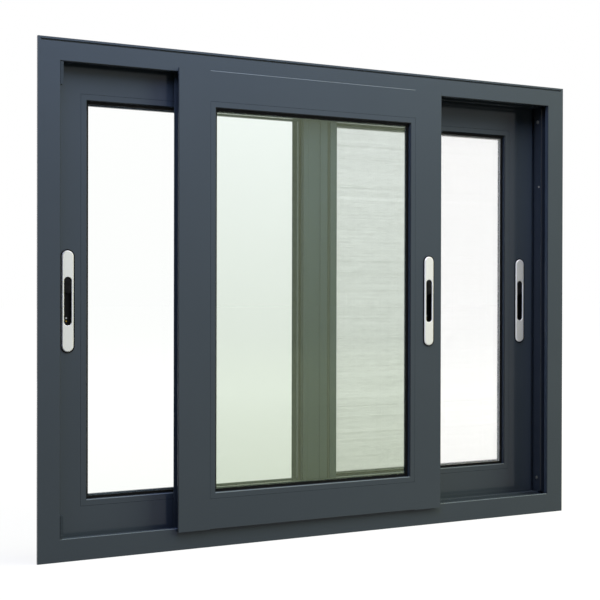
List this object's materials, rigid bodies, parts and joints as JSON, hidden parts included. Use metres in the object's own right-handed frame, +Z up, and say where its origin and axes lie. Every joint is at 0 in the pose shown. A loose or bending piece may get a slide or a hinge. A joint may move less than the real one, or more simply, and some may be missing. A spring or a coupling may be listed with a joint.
{
  "type": "three-track horizontal sliding sash window",
  "caption": "Anthracite aluminium sliding window: glazed sashes in the front and middle tracks, an insect-screen sash in the rear track, each with a recessed pale handle.",
  "frame": {"origin": "on the sill's underside, half way along it and half way through its depth", "axes": "+X along the sill to the right seen from the handle side, +Y from the handle side to the far side, +Z up"},
  "size_m": [1.25, 0.103, 1],
  "materials": {
    "powder_coat": "anthracite satin powder coat",
    "float_glass": "clear float glass",
    "insect_mesh": "woven coated glass-fibre mesh",
    "seal_rubber": "black extruded seal",
    "handle_enamel": "pale satin enamel",
    "black_nylon": "moulded black nylon",
    "latch_grey": "moulded dark grey nylon",
    "roller_nylon": "natural nylon"
  },
  "bodies": {
    "frame": {"sill": "powder_coat", "head": "powder_coat", "left_jamb": "powder_coat", "right_jamb": "powder_coat", "left_jamb_infill": "powder_coat", "right_jamb_infill": "powder_coat", "left_jamb_buffers": "seal_rubber"},
    "front_sash": {"front_sash_lock_stile": "powder_coat", "front_sash_meeting_stile": "powder_coat", "front_sash_top_rail": "powder_coat", "front_sash_bottom_rail": "powder_coat", "front_sash_beads": "powder_coat", "front_sash_gaskets": "seal_rubber", "front_sash_handle_plate": "handle_enamel", "front_sash_finger_cup": "black_nylon", "front_sash_thumb_latch": "latch_grey", "front_sash_rollers": "roller_nylon", "front_sash_roller_housings": "black_nylon", "front_sash_glass": "float_glass"},
    "left_sash": {"left_sash_lock_stile": "powder_coat", "left_sash_meeting_stile": "powder_coat", "left_sash_top_rail": "powder_coat", "left_sash_bottom_rail": "powder_coat", "left_sash_beads": "powder_coat", "left_sash_gaskets": "seal_rubber", "left_sash_handle_plate": "handle_enamel", "left_sash_finger_cup": "black_nylon", "left_sash_thumb_latch": "latch_grey", "left_sash_rollers": "roller_nylon", "left_sash_roller_housings": "black_nylon", "left_sash_glass": "float_glass"},
    "right_sash": {"right_sash_lock_stile": "powder_coat", "right_sash_meeting_stile": "powder_coat", "right_sash_top_rail": "powder_coat", "right_sash_bottom_rail": "powder_coat", "right_sash_beads": "powder_coat", "right_sash_gaskets": "seal_rubber", "right_sash_handle_plate": "handle_enamel", "right_sash_finger_cup": "black_nylon", "right_sash_thumb_latch": "latch_grey", "right_sash_rollers": "roller_nylon", "right_sash_roller_housings": "black_nylon", "right_sash_screen": "insect_mesh", "right_sash_screen_spline": "seal_rubber"}
  },
  "joints": [
    {"name": "front_sash_slide", "type": "slide", "parent": "frame", "child": "front_sash", "axis": [1, 0, 0], "range_m": [-0.246, 0.3195]},
    {"name": "left_sash_slide", "type": "slide", "parent": "frame", "child": "left_sash", "axis": [1, 0, 0], "range_m": [0, 0.5495]},
    {"name": "right_sash_slide", "type": "slide", "parent": "frame", "child": "right_sash", "axis": [1, 0, 0], "range_m": [-0.532, 0.0175]}
  ]
}
